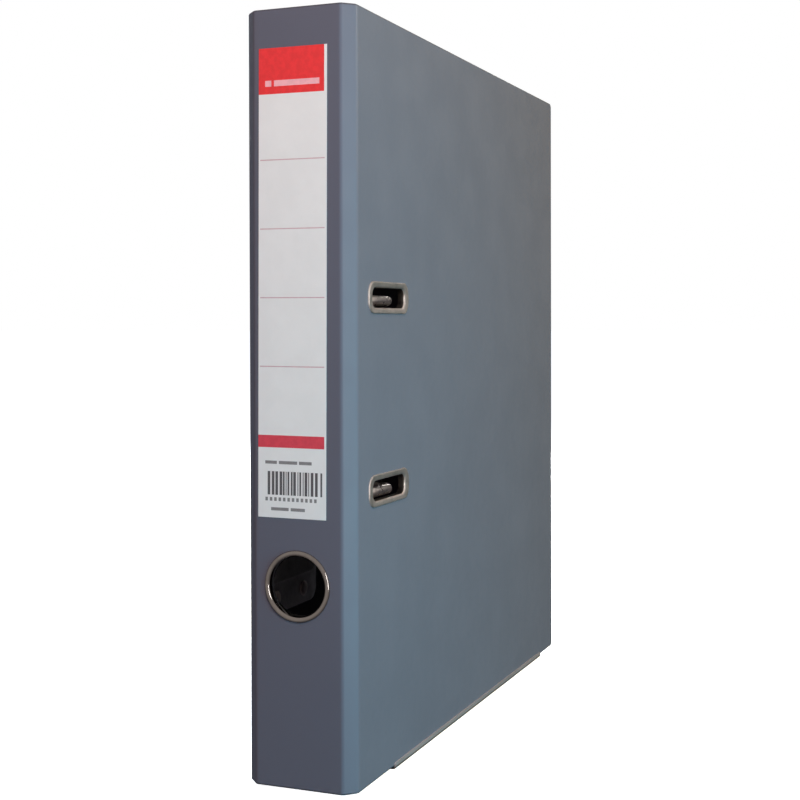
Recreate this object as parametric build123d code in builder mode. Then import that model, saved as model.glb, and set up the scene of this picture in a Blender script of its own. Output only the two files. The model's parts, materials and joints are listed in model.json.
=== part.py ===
from build123d import *
import os

# A 50 mm lever arch file for punched A4 paper, standing on its bottom edge. Millimetres.
# X runs from the spine to the fore-edge, the front cover is on the -Y side, and Z is up.
# Inside, places are given as a distance back from the spine's outer face, a height above the
# back cover's lining, and a distance along Z from the middle of the mechanism.

# Case, outside
case_height = 317.5
case_depth = 285.5
spine_flat = 39.2
hinge_step = 4.9
case_thickness = spine_flat + 2 * hinge_step
ground_gap = 1.3
corner_radius = 2.5

# Case wall: plastic foil outside, greyboard, paper lining inside
foil = 0.35
board = 1.8
lining = 0.25
wall = foil + board + lining
foil_setback = 0.4
board_setback = 1.5
turn_in = 11.0

# Finger ring and its washer, in the spine
ring_height = 82.8
ring_offset = 0.5
ring_hole_radius = 12.2
ring_rim_radius = 14.7
ring_collar_radius = 12.9
ring_clinch_radius = 13.9
ring_proud = 0.9
ring_clinch = 0.4
washer_radius = 15.6
washer_thickness = 0.5

# Spine label
label_width = 30.6
label_height = 191.0
label_thickness = 0.15
label_bottom = 110.4
label_offset = 2.2
label_tilt = 0.33

# Closing slots in the front cover, and the eyelets that line them
slot_distance = 37.2
slot_spacing = 80.0
slot_rise = 1.4
slot_length = 34.4
slot_height = 8.2
slot_corner = 3.4
eyelet_length = 43.4
eyelet_height = 13.4
eyelet_corner = 5.2
eyelet_collar = 0.6
eyelet_clinch = 1.6
eyelet_proud = 0.6
eyelet_inside = 0.5
rim_rounding = 0.8

# Edge guards under both covers
guard_start = 42.4
guard_end = 260.0
guard_metal = 0.5
guard_height = 2.9
guard_bend = 1.1

# Base plate of the mechanism, a shallow stamped tray on the back cover
mechanism_rise = 0.2
plate_start = 9.0
plate_width = 52.0
plate_length = 186.0
plate_metal = 1.0
plate_corner = 6.0
tray_width = 45.0
tray_length = 160.0
tray_height = 2.6
tray_corner = 5.0
tray_taper = 20

# Arch wire, its bearings and the fixed posts
wire_radius = 2.2
arch_distance = 20.8
post_distance = 45.3
shaft_height = 5.6
crown_height = 43.4
crown_bend = 9.0
foot_bend = 5.0
crank_throw = 8.0
crank_low = 2.0
crank_high = 18.0
crank_bend = 3.2
post_radius = 2.4
post_height = 31.0
post_foot_radius = 4.5
tip_gap = 0.3
tip_depth = 1.2
tip_taper = 50
running_fit = 0.05
bearing_wall = 1.1
bearing_foot = 8.0
lower_bearing = (-31.0, -25.0)
upper_bearing = (30.8, 34.6)

# Lever, its pin and its roller
pivot_along = 26.0
lever_metal = 1.0
lever_rounding = 0.6
lever_start = 10.6
lever_arm_end = 17.4
lever_cam_end = 32.4
lever_tip = -36.0
lever_tail = 2.4
lever_depth = 6.0
cam_low = 7.5
cam_shoulder = 7.0
tail_cut = 3.0
pin_radius = 1.5
pin_start = 8.2
pin_end = 35.2
roller_radius = 2.5
roller_along = 12.0
roller_pin_radius = 1.0
roller_start = 25.5
roller_end = 30.9
roller_tab_width = 6.0
roller_gap = 0.3
ear_width = 8.0
ear_gap = 0.6

# Leaf spring under the crank
spring_width = 8.0
spring_metal = 0.5
spring_low = -22.0
spring_high = 16.0
spring_corner = 2.0
spring_rivet_along = -17.0

# Compressor bar on the posts
bar_width = 18.0
bar_length = 104.0
bar_height = 4.6
bar_depth = 2.4
bar_corner = 4.5
bar_rounding = 0.8
bar_hole_radius = 2.8
clip_width = 7.5
clip_length = 97.0
clip_metal = 0.6
clip_corner = 2.5
clip_hole_radius = 2.55
clip_rivet_along = 15.0

# Rivets
plate_rivet_along = 86.5
plate_rivet_distances = (22.0, 48.0)
plate_rivet_shank = 1.7
plate_rivet_head = 3.3
plate_rivet_outer_head = 3.8
small_rivet_shank = 0.9
small_rivet_head = 1.9
rivet_proud = 0.8
outer_head_proud = 0.6
head_rounding = 0.7
rivet_fit = 0.05

# Reference places, so that the whole object's box is centred over the origin
spine_x = -(case_depth - ring_proud) / 2
fore_x = spine_x + case_depth
inner_y = case_thickness / 2 - wall
case_bottom = ground_gap
case_top = case_bottom + case_height
case_middle = (case_bottom + case_top) / 2
mechanism_z = case_middle + mechanism_rise
slot_middle = case_middle + slot_rise
slot_levels = (slot_middle - slot_spacing / 2, slot_middle + slot_spacing / 2)
plate_middle = spine_x + plate_start + plate_width / 2
roller_height = shaft_height + wire_radius + tip_gap + roller_radius
pivot_height = roller_height
web_top = pivot_height + 4.2
lever_underside = web_top - lever_depth
crank_distance = arch_distance + crank_throw
tab_start = roller_start - lever_metal - roller_gap
FRONT = -1
BACK = 1

os.makedirs("parts", exist_ok=True)


def save(part, label):
    """Label a finished piece and write it as its own STEP file."""
    part.label = label
    export_step(part, f"parts/{label}.step")


def inside(distance, height, along):
    """A point given as distance from the spine face, height over the back lining, and place along Z."""
    return (spine_x + distance, inner_y - height, mechanism_z + along)


def cover_plane(side, depth):
    """The plane parallel to a cover, this deep below its outer face."""
    return Plane.XZ.offset(-side * (case_thickness / 2 - depth))


def back_plane(height):
    """The plane parallel to the back cover, this high above its lining, facing the front cover."""
    return Plane.XZ.offset(height - inner_y)


def cover_outline(start, inset, radius):
    """A cover's outline from a distance behind the spine face, held back from its three free edges."""
    left = spine_x + start
    right = fore_x - inset
    height = case_height - 2 * inset
    with Locations(((left + right) / 2, case_middle)):
        outline = Rectangle(right - left, height)
    if radius > 0:
        fillet(outline.vertices().sort_by(Axis.X)[-2:], radius)


def slot_outlines(length, height, corner):
    """Two rounded rectangles, one at each closing slot."""
    with Locations(*[(spine_x + slot_distance, level) for level in slot_levels]):
        RectangleRounded(length, height, corner)


def plate_rivet_places():
    """The four plate rivets, as points in a plane parallel to the back cover."""
    return [
        (spine_x + distance, mechanism_z + sign * plate_rivet_along)
        for distance in plate_rivet_distances
        for sign in (-1, 1)
    ]


def layer_openings(side):
    """What goes through a cover's layers: the closing slots in front, the plate rivets at the back."""
    if side == FRONT:
        grow = 2 * eyelet_collar
        slot_outlines(slot_length + grow, slot_height + grow, slot_corner + eyelet_collar)
    else:
        with Locations(*plate_rivet_places()):
            Circle(plate_rivet_shank + rivet_fit)


# The case ---------------------------------------------------------------------------------------


def make_cover_foil(side):
    """The plastic foil of one cover: its outer skin, wrapped round three edges and turned in."""
    with BuildPart() as cover_foil:
        with BuildSketch(cover_plane(side, 0)):
            cover_outline(hinge_step + foil_setback, 0, corner_radius)
        extrude(amount=side * wall)
        with BuildSketch(cover_plane(side, foil)):
            cover_outline(hinge_step, foil, corner_radius - foil)
        extrude(amount=side * board, mode=Mode.SUBTRACT)
        with BuildSketch(cover_plane(side, foil + board)):
            cover_outline(hinge_step, turn_in, 0)
        extrude(amount=side * lining, mode=Mode.SUBTRACT)
        with BuildSketch(cover_plane(side, foil)):
            with Locations((spine_x + hinge_step + board_setback / 2, case_middle)):
                Rectangle(board_setback, case_height)
        extrude(amount=side * (board + lining), mode=Mode.SUBTRACT)
        with BuildSketch(cover_plane(side, 0)):
            layer_openings(side)
        extrude(amount=side * wall, mode=Mode.SUBTRACT)
    return cover_foil.part


def make_cover_board(side):
    """The greyboard panel of one cover."""
    with BuildPart() as cover_board:
        with BuildSketch(cover_plane(side, foil)):
            cover_outline(hinge_step + board_setback, foil, corner_radius - foil)
        extrude(amount=side * board)
        with BuildSketch(cover_plane(side, 0)):
            layer_openings(side)
        extrude(amount=side * wall, mode=Mode.SUBTRACT)
    return cover_board.part


def make_cover_lining(side):
    """The paper lining of one cover, inside the turned-in foil."""
    with BuildPart() as cover_lining:
        with BuildSketch(cover_plane(side, foil + board)):
            cover_outline(hinge_step + board_setback, turn_in, 0)
        extrude(amount=side * lining)
        with BuildSketch(cover_plane(side, 0)):
            layer_openings(side)
        extrude(amount=side * wall, mode=Mode.SUBTRACT)
    return cover_lining.part


def make_strip_layer(side, depth, thickness, margin):
    """One layer of a hinge strip, the board-free band that runs at 45 degrees from spine to cover."""
    crease = Vector(spine_x, side * spine_flat / 2, case_middle)
    across = Vector(1, side, 0).normalized()
    inward = Vector(1, -side, 0).normalized()
    width = Vector(hinge_step, hinge_step, 0).length
    middle = crease + across * (width / 2) + inward * (depth + thickness / 2)
    strip_plane = Plane(origin=middle, x_dir=across, z_dir=(0, 0, 1))
    with BuildPart() as strip_layer:
        with BuildSketch(strip_plane.offset(-case_height / 2 + margin)):
            Rectangle(width - 2 * foil_setback, thickness)
        extrude(amount=case_height - 2 * margin)
    return strip_layer.part


for side, name in ((FRONT, "front"), (BACK, "back")):
    save(make_cover_foil(side), f"{name}_cover_foil")
    save(make_cover_board(side), f"{name}_cover_board")
    save(make_cover_lining(side), f"{name}_cover_lining")
    save(make_strip_layer(side, 0, foil, 0), f"{name}_hinge_foil")
    save(make_strip_layer(side, foil, lining, lining), f"{name}_hinge_lining")

spine_face = Plane.YZ.offset(spine_x)
ring_centre = (ring_offset, ring_height + case_bottom)

with BuildPart() as spine_foil:
    with BuildSketch(spine_face):
        with Locations((0, case_middle)):
            Rectangle(spine_flat - 2 * foil_setback, case_height)
    extrude(amount=foil)
    with BuildSketch(spine_face):
        with Locations((0, case_bottom + foil / 2), (0, case_top - foil / 2)):
            Rectangle(spine_flat - 2 * board_setback, foil)
    extrude(amount=wall)
    with BuildSketch(spine_face.offset(foil + board)):
        with Locations((0, case_bottom + turn_in / 2), (0, case_top - turn_in / 2)):
            Rectangle(spine_flat - 2 * board_setback, turn_in)
    extrude(amount=lining)
    with BuildSketch(spine_face):
        with Locations(ring_centre):
            Circle(ring_collar_radius)
    extrude(amount=wall, mode=Mode.SUBTRACT)
save(spine_foil.part, "spine_foil")

with BuildPart() as spine_board:
    with BuildSketch(spine_face.offset(foil)):
        with Locations((0, case_middle)):
            Rectangle(spine_flat - 2 * board_setback, case_height - 2 * foil)
        with Locations(ring_centre):
            Circle(ring_collar_radius, mode=Mode.SUBTRACT)
    extrude(amount=board)
save(spine_board.part, "spine_board")

with BuildPart() as spine_lining:
    with BuildSketch(spine_face.offset(foil + board)):
        with Locations((0, case_middle)):
            Rectangle(spine_flat - 2 * board_setback, case_height - 2 * turn_in)
        with Locations(ring_centre):
            Circle(ring_collar_radius, mode=Mode.SUBTRACT)
    extrude(amount=lining)
save(spine_lining.part, "spine_lining")

with BuildPart() as spine_label:
    with BuildSketch(spine_face.offset(-label_thickness)):
        with Locations((label_offset, case_bottom + label_bottom + label_height / 2)):
            Rectangle(label_width, label_height, rotation=label_tilt)
    extrude(amount=label_thickness)
save(spine_label.part, "spine_label")

# Finger ring: a domed rim outside, a collar through the wall, clinched over a washer inside.
# In its section, the first coordinate is the radius and the second the depth below the spine face.
ring_origin = (spine_x, ring_offset, ring_centre[1])
ring_section = Plane(origin=ring_origin, x_dir=(0, 1, 0), z_dir=(0, 0, -1))
ring_axis = Axis(ring_origin, (1, 0, 0))
clinch_depth = wall + washer_thickness
with BuildPart() as finger_ring:
    with BuildSketch(ring_section):
        with BuildLine():
            rim = ThreePointArc(
                (ring_hole_radius, 0),
                ((ring_hole_radius + ring_rim_radius) / 2, -ring_proud),
                (ring_rim_radius, 0),
            )
            Polyline(
                rim @ 1,
                (ring_collar_radius, 0),
                (ring_collar_radius, clinch_depth),
                (ring_clinch_radius, clinch_depth),
                (ring_clinch_radius, clinch_depth + ring_clinch),
                (ring_hole_radius, clinch_depth + ring_clinch),
                rim @ 0,
            )
        make_face()
    revolve(axis=ring_axis)
save(finger_ring.part, "finger_ring")

with BuildPart() as ring_washer:
    with BuildSketch(spine_face.offset(wall)):
        with Locations(ring_centre):
            Circle(washer_radius)
            Circle(ring_collar_radius, mode=Mode.SUBTRACT)
    extrude(amount=washer_thickness)
save(ring_washer.part, "finger_ring_washer")

# Metal on the covers ----------------------------------------------------------------------------


def make_slot_eyelet(level):
    """The eyelet of one closing slot: a rim outside, a collar through the wall, a clinched edge inside."""
    place = (spine_x + slot_distance, level)
    collar_length = slot_length + 2 * eyelet_collar
    collar_height = slot_height + 2 * eyelet_collar
    collar_corner = slot_corner + eyelet_collar
    with BuildPart() as slot_eyelet:
        with BuildSketch(cover_plane(FRONT, -eyelet_proud)):
            with Locations(place):
                RectangleRounded(eyelet_length, eyelet_height, eyelet_corner)
        extrude(amount=FRONT * eyelet_proud)
        rim_edges = slot_eyelet.edges().group_by(Axis.Y)[0]
        fillet(rim_edges, eyelet_proud * rim_rounding)
        with BuildSketch(cover_plane(FRONT, 0)):
            with Locations(place):
                RectangleRounded(collar_length, collar_height, collar_corner)
        extrude(amount=FRONT * wall)
        with BuildSketch(cover_plane(FRONT, wall)):
            with Locations(place):
                RectangleRounded(
                    collar_length + 2 * eyelet_clinch,
                    collar_height + 2 * eyelet_clinch,
                    collar_corner + eyelet_clinch,
                )
        extrude(amount=FRONT * eyelet_inside)
        with BuildSketch(cover_plane(FRONT, -eyelet_proud)):
            with Locations(place):
                RectangleRounded(slot_length, slot_height, slot_corner)
        extrude(amount=FRONT * (eyelet_proud + wall + eyelet_inside), mode=Mode.SUBTRACT)
    return slot_eyelet.part


for level, name in zip(slot_levels, ("lower", "upper")):
    save(make_slot_eyelet(level), f"{name}_slot_eyelet")


def make_edge_guard(side):
    """A sheet metal channel pressed over the bottom edge of one cover. The file stands on it."""
    middle_y = side * (case_thickness - wall) / 2
    with BuildPart() as edge_guard:
        with BuildSketch(Plane.YZ.offset(spine_x + guard_start)):
            with Locations((middle_y, guard_height / 2)):
                channel = Rectangle(wall + 2 * guard_metal, guard_height)
            fillet(channel.vertices().group_by(Axis.Y)[0], guard_bend)
            with Locations((middle_y, (guard_height + guard_metal) / 2)):
                Rectangle(wall, guard_height - guard_metal, mode=Mode.SUBTRACT)
        extrude(amount=guard_end - guard_start)
        ends = edge_guard.edges().filter_by(Axis.Y).group_by(Axis.Z)[-1]
        fillet(ends.group_by(Axis.X)[0] + ends.group_by(Axis.X)[-1], guard_bend)
    return edge_guard.part


save(make_edge_guard(FRONT), "front_edge_guard")
save(make_edge_guard(BACK), "back_edge_guard")

# The mechanism ----------------------------------------------------------------------------------


def ear_outline():
    """One bearing ear for the lever's pin, seen along the pin."""
    foot_y = inner_y - plate_metal / 2
    pivot_y = inner_y - pivot_height
    pivot_z = mechanism_z + pivot_along
    with Locations(((foot_y + pivot_y) / 2, pivot_z)):
        Rectangle(foot_y - pivot_y, ear_width)
    with Locations((pivot_y, pivot_z)):
        Circle(ear_width / 2)
        Circle(pin_radius + running_fit, mode=Mode.SUBTRACT)


with BuildPart() as base_plate:
    with BuildSketch(back_plane(0)):
        with Locations((plate_middle, mechanism_z)):
            RectangleRounded(plate_width, plate_length, plate_corner)
    extrude(amount=plate_metal)
    with BuildSketch(back_plane(0)):
        with Locations((plate_middle, mechanism_z)):
            RectangleRounded(tray_width, tray_length, tray_corner)
    extrude(amount=tray_height, taper=tray_taper)
    for ear_start in (plate_start, lever_cam_end + ear_gap):
        with BuildSketch(Plane.YZ.offset(spine_x + ear_start)):
            ear_outline()
        extrude(amount=plate_metal)
    with BuildSketch(back_plane(0)):
        with Locations((plate_middle, mechanism_z)):
            RectangleRounded(
                tray_width - 2 * plate_metal, tray_length - 2 * plate_metal, tray_corner - plate_metal
            )
    extrude(amount=tray_height - plate_metal, taper=tray_taper, mode=Mode.SUBTRACT)
    with BuildSketch(back_plane(0)):
        with Locations(*plate_rivet_places()):
            Circle(plate_rivet_shank + rivet_fit)
        with Locations(inside(crank_distance, 0, spring_rivet_along)[::2]):
            Circle(small_rivet_shank + rivet_fit)
    extrude(amount=tray_height, mode=Mode.SUBTRACT)
save(base_plate.part, "base_plate")

with BuildPart() as plate_rivets:
    for outline, start, length in (
        (plate_rivet_outer_head, -wall - outer_head_proud, outer_head_proud),
        (plate_rivet_shank, -wall, wall + plate_metal),
        (plate_rivet_head, plate_metal, rivet_proud),
    ):
        with BuildSketch(back_plane(start)):
            with Locations(*plate_rivet_places()):
                Circle(outline)
        extrude(amount=length)
    fillet(plate_rivets.edges().group_by(Axis.Y)[0], rivet_proud * head_rounding)
    fillet(plate_rivets.edges().group_by(Axis.Y)[-1], outer_head_proud * head_rounding)
save(plate_rivets.part, "plate_rivets")

for sign, name in ((-1, "lower"), (1, "upper")):
    place = inside(post_distance, 0, sign * slot_spacing / 2)[::2]
    with BuildPart() as fixed_post:
        with BuildSketch(back_plane(tray_height)):
            with Locations(place):
                Circle(post_foot_radius)
        extrude(amount=plate_metal)
        with BuildSketch(back_plane(tray_height)):
            with Locations(place):
                Circle(post_radius)
        extrude(amount=post_height - tray_height)
        mouth = Plane(origin=inside(post_distance, post_height, sign * slot_spacing / 2), z_dir=(0, 1, 0))
        with BuildSketch(mouth):
            Circle(post_radius - tip_gap)
        extrude(amount=tip_depth + tip_gap / 2, taper=tip_taper, mode=Mode.SUBTRACT)
    save(fixed_post.part, f"{name}_post")

# Arch wire: one bent wire. From each tip it goes over the crown, down to the shaft, and the shaft
# has a crank in it that the lever's roller holds down.
arch_points = [
    inside(post_distance, post_height + tip_gap, slot_spacing / 2),
    inside(post_distance, crown_height, slot_spacing / 2),
    inside(arch_distance, crown_height, slot_spacing / 2),
    inside(arch_distance, shaft_height, slot_spacing / 2),
    inside(arch_distance, shaft_height, crank_high),
    inside(crank_distance, shaft_height, crank_high),
    inside(crank_distance, shaft_height, crank_low),
    inside(arch_distance, shaft_height, crank_low),
    inside(arch_distance, shaft_height, -slot_spacing / 2),
    inside(arch_distance, crown_height, -slot_spacing / 2),
    inside(post_distance, crown_height, -slot_spacing / 2),
    inside(post_distance, post_height + tip_gap, -slot_spacing / 2),
]
arch_bends = [crown_bend] * 2 + [foot_bend] + [crank_bend] * 4 + [foot_bend] + [crown_bend] * 2
with BuildPart() as arch_wire:
    with BuildLine() as route:
        FilletPolyline(*arch_points, radius=arch_bends)
    with BuildSketch(Plane(origin=arch_points[0], z_dir=(0, -1, 0))):
        Circle(wire_radius)
    sweep(path=route.line)
    for tip in (arch_points[0], arch_points[-1]):
        with BuildSketch(Plane(origin=tip, z_dir=(0, 1, 0))):
            Circle(wire_radius - running_fit * 2)
        extrude(amount=tip_depth, taper=tip_taper)
save(arch_wire.part, "arch_wire")

for span, name in ((lower_bearing, "lower"), (upper_bearing, "upper")):
    shaft_y = inner_y - shaft_height
    foot_y = inner_y - tray_height
    shaft_x = spine_x + arch_distance
    bore = wire_radius + running_fit
    with BuildPart() as bearing_clip:
        with BuildSketch(Plane.XY.offset(mechanism_z + span[0])):
            with Locations((shaft_x, shaft_y)):
                Circle(bore + bearing_wall)
            with Locations((shaft_x, (shaft_y + foot_y) / 2)):
                Rectangle(2 * (bore + bearing_wall), foot_y - shaft_y)
            with Locations((shaft_x, foot_y - bearing_wall / 2)):
                Rectangle(2 * bearing_foot, bearing_wall)
            with Locations((shaft_x, shaft_y)):
                Circle(bore, mode=Mode.SUBTRACT)
            with Locations((shaft_x, (shaft_y + foot_y) / 2)):
                Rectangle(2 * bore, foot_y - shaft_y, mode=Mode.SUBTRACT)
            with Locations((shaft_x, foot_y + bearing_wall)):
                Rectangle(2 * bearing_foot, 2 * bearing_wall, mode=Mode.SUBTRACT)
        extrude(amount=span[1] - span[0])
    save(bearing_clip.part, f"{name}_bearing_clip")

with BuildPart() as leaf_spring:
    with BuildSketch(back_plane(tray_height)):
        with Locations(inside(crank_distance, 0, (spring_low + spring_high) / 2)[::2]):
            RectangleRounded(spring_width, spring_high - spring_low, spring_corner)
        with Locations(inside(crank_distance, 0, spring_rivet_along)[::2]):
            Circle(small_rivet_shank + rivet_fit, mode=Mode.SUBTRACT)
    extrude(amount=spring_metal)
save(leaf_spring.part, "leaf_spring")

with BuildPart() as spring_rivet:
    for outline, start, length in (
        (small_rivet_shank, tray_height - plate_metal, plate_metal + spring_metal),
        (small_rivet_head, tray_height + spring_metal, rivet_proud),
    ):
        with BuildSketch(back_plane(start)):
            with Locations(inside(crank_distance, 0, spring_rivet_along)[::2]):
                Circle(outline)
        extrude(amount=length)
    fillet(spring_rivet.edges().group_by(Axis.Y)[0], rivet_proud * head_rounding)
save(spring_rivet.part, "spring_rivet")


def lever_edge(inset):
    """The lever's edge seen from the front cover: a long finger arm, and a wide end over the crank."""
    tail = mechanism_z + pivot_along + lever_tail - inset
    tip_radius = (lever_arm_end - lever_start) / 2 - inset
    arm_left = spine_x + lever_start + inset
    arm_right = spine_x + lever_arm_end - inset
    cam_right = spine_x + lever_cam_end - inset
    cam_bottom = mechanism_z + cam_low + inset
    arm_tip = mechanism_z + lever_tip + inset
    shoulder = mechanism_z + cam_low - (lever_arm_end - lever_start)
    with BuildLine() as edge:
        side_lines = Polyline(
            (arm_left, arm_tip + tip_radius),
            (arm_left, tail),
            (cam_right, tail),
            (cam_right, cam_bottom),
            (spine_x + lever_arm_end + cam_shoulder, cam_bottom),
            (arm_right, shoulder),
            (arm_right, arm_tip + tip_radius),
        )
        ThreePointArc(side_lines @ 1, ((arm_left + arm_right) / 2, arm_tip), side_lines @ 0)
    return edge.edges()


def pin_plane(distance):
    """The plane across the lever's pin, this far from the spine face."""
    return Plane.YZ.offset(spine_x + distance)


pivot_point = (inner_y - pivot_height, mechanism_z + pivot_along)
roller_point = (inner_y - roller_height, mechanism_z + roller_along)
with BuildPart() as lever:
    with BuildSketch(back_plane(lever_underside)):
        make_face(lever_edge(0))
    extrude(amount=lever_depth)
    fillet(lever.edges().group_by(Axis.Y)[0], lever_rounding)
    with BuildSketch(back_plane(lever_underside)):
        make_face(lever_edge(lever_metal))
        with Locations(inside((lever_start + lever_cam_end) / 2, 0, pivot_along + lever_tail)[::2]):
            Rectangle(lever_cam_end - lever_start - 2 * lever_metal, tail_cut)
    extrude(amount=lever_depth - lever_metal, mode=Mode.SUBTRACT)
    with BuildSketch(pin_plane(tab_start)):
        with Locations((inner_y - (lever_underside + web_top) / 2, roller_point[1])):
            Rectangle(lever_depth - lever_metal, roller_tab_width)
    extrude(amount=lever_metal)
    with BuildSketch(pin_plane(tab_start - lever_metal)):
        with Locations(roller_point):
            Circle(roller_pin_radius + running_fit / 2)
    extrude(amount=lever_cam_end, mode=Mode.SUBTRACT)
    with BuildSketch(pin_plane(0)):
        with Locations(pivot_point):
            Circle(pin_radius + running_fit)
    extrude(amount=2 * lever_cam_end, mode=Mode.SUBTRACT)
save(lever.part, "lever")

with BuildPart() as lever_pin:
    with BuildSketch(pin_plane(pin_start)):
        with Locations(pivot_point):
            Circle(pin_radius)
    extrude(amount=pin_end - pin_start)
    for start in (pin_start, pin_end - rivet_proud):
        with BuildSketch(pin_plane(start)):
            with Locations(pivot_point):
                Circle(pin_radius + plate_metal)
        extrude(amount=rivet_proud)
save(lever_pin.part, "lever_pin")

with BuildPart() as lever_roller:
    with BuildSketch(pin_plane(roller_start)):
        with Locations(roller_point):
            Circle(roller_radius)
            Circle(roller_pin_radius + running_fit, mode=Mode.SUBTRACT)
    extrude(amount=roller_end - roller_start)
save(lever_roller.part, "lever_roller")

with BuildPart() as roller_pin:
    with BuildSketch(pin_plane(tab_start - roller_gap)):
        with Locations(roller_point):
            Circle(roller_pin_radius)
    extrude(amount=lever_cam_end - tab_start + 2 * roller_gap)
save(roller_pin.part, "roller_pin")

# Compressor: a stamped bar that slides on the posts, with a spring clip that grips them.
post_places = [inside(post_distance, 0, sign * slot_spacing / 2)[::2] for sign in (-1, 1)]
clip_rivet_places = [inside(post_distance, 0, sign * clip_rivet_along)[::2] for sign in (-1, 1)]
bar_place = inside(post_distance, 0, 0)[::2]
bar_top = bar_height + bar_depth
with BuildPart() as compressor_bar:
    with BuildSketch(back_plane(bar_height)):
        with Locations(bar_place):
            RectangleRounded(bar_width, bar_length, bar_corner)
    extrude(amount=bar_depth)
    fillet(compressor_bar.edges().group_by(Axis.Y)[0], bar_rounding)
    with BuildSketch(back_plane(bar_height)):
        with Locations(bar_place):
            RectangleRounded(
                bar_width - 2 * plate_metal, bar_length - 2 * plate_metal, bar_corner - plate_metal
            )
    extrude(amount=bar_depth - plate_metal, mode=Mode.SUBTRACT)
    with BuildSketch(back_plane(bar_height)):
        with Locations(*post_places):
            Circle(bar_hole_radius)
        with Locations(*clip_rivet_places):
            Circle(small_rivet_shank + rivet_fit)
    extrude(amount=bar_depth, mode=Mode.SUBTRACT)
save(compressor_bar.part, "compressor_bar")

with BuildPart() as compressor_clip:
    with BuildSketch(back_plane(bar_top)):
        with Locations(bar_place):
            RectangleRounded(clip_width, clip_length, clip_corner)
        with Locations(*post_places):
            Circle(clip_hole_radius, mode=Mode.SUBTRACT)
        with Locations(*clip_rivet_places):
            Circle(small_rivet_shank + rivet_fit, mode=Mode.SUBTRACT)
    extrude(amount=clip_metal)
save(compressor_clip.part, "compressor_clip")

with BuildPart() as clip_rivets:
    for outline, start, length in (
        (small_rivet_shank, bar_top - plate_metal, plate_metal + clip_metal),
        (small_rivet_head, bar_top + clip_metal, rivet_proud),
    ):
        with BuildSketch(back_plane(start)):
            with Locations(*clip_rivet_places):
                Circle(outline)
        extrude(amount=length)
    fillet(clip_rivets.edges().group_by(Axis.Y)[0], rivet_proud * head_rounding)
save(clip_rivets.part, "clip_rivets")
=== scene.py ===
import json
import math

import bmesh
import bpy
import numpy as np
from mathutils import Matrix, Vector, noise
from mathutils.geometry import delaunay_2d_cdt


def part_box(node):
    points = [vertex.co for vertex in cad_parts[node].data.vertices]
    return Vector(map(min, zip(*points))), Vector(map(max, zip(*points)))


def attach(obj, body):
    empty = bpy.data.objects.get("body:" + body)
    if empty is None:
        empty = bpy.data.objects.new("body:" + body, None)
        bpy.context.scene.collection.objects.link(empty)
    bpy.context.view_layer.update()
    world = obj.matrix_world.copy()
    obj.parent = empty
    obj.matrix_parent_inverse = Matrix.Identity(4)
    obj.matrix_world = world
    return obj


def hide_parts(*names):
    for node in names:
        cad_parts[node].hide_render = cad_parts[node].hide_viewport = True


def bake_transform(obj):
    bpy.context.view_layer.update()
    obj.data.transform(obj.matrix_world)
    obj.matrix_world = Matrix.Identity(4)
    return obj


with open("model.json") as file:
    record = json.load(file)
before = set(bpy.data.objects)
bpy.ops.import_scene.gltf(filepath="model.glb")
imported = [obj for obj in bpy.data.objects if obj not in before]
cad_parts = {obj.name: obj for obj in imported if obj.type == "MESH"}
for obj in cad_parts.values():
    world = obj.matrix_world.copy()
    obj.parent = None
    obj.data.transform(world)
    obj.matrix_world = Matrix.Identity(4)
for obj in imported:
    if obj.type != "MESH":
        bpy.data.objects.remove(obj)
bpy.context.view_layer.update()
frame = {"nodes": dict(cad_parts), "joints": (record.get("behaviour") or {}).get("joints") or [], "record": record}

# A lever arch file. Sizes below are in millimetres and places come from the frame, in metres.
# Across the case's wall, a depth is measured from the outer face towards the paper.
MM = 0.001
FRONT = -1
BACK = 1
SIDES = {"front": FRONT, "back": BACK}

folds = {joint["name"]: Vector(joint["pos_m"]) for joint in frame["joints"] if "pos_m" in joint}


def centre(node):
    """The middle of a CAD node's box."""
    low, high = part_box(node)
    return (low + high) / 2


# Case
spine_x = folds["front_strip_fold"].x
spine_half = abs(folds["front_strip_fold"].y)
cover_x = folds["front_cover_fold"].x
cover_y = abs(folds["front_cover_fold"].y)
fore_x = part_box("front_cover_foil")[1].x
case_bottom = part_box("front_cover_foil")[0].z
case_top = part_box("front_cover_foil")[1].z
wall = 2.4 * MM
foil = 0.3 * MM
board_setback = 1.5 * MM
edge_radius = 0.8 * MM
fore_corner = 2.5 * MM
turn_in = 11.0 * MM
face_spacing = 8.0 * MM
wave_height = 0.07 * MM
wave_length = 70.0 * MM
wave_fade = 25.0 * MM

# Creases
crease_radius = 2.5 * MM
blend_lead = 1.1 * MM
blend_tail = 0.6 * MM
lining_sheet = 0.2 * MM
lining_lap = 1.5 * MM
lining_clear = 0.02 * MM
lining_margin = 1.0 * MM

# Metal on the case
slot_length = 34.4 * MM
slot_height = 8.2 * MM
slot_corner = 3.4 * MM
eyelet_corner = 5.2 * MM
eyelet_collar = 0.6 * MM
clinch = 1.6 * MM
clinch_metal = 0.4 * MM
ring_hole = 12.2 * MM
ring_rim = 14.7 * MM
ring_collar = 12.9 * MM
ring_clinch = 13.9 * MM
washer = 0.5 * MM
guard_metal = 0.5 * MM
guard_bend = 1.1 * MM

# Mechanism, with heights measured from the back cover's lining
lining_y = cover_y - wall
mechanism_z = (centre("lower_post").z + centre("upper_post").z) / 2
post_reach = centre("upper_post").z - mechanism_z
wire_radius = 2.2 * MM
shaft_height = 5.6 * MM
crown_height = 43.4 * MM
arch_distance = 20.8 * MM
post_distance = 45.3 * MM
post_height = 31.0 * MM
post_radius = 2.4 * MM
tip_gap = 0.3 * MM
tip_depth = 1.2 * MM


# Curves and meshes --------------------------------------------------------------------------------


def unit(vector):
    """A numpy vector of length one."""
    return vector / np.linalg.norm(vector)


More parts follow.
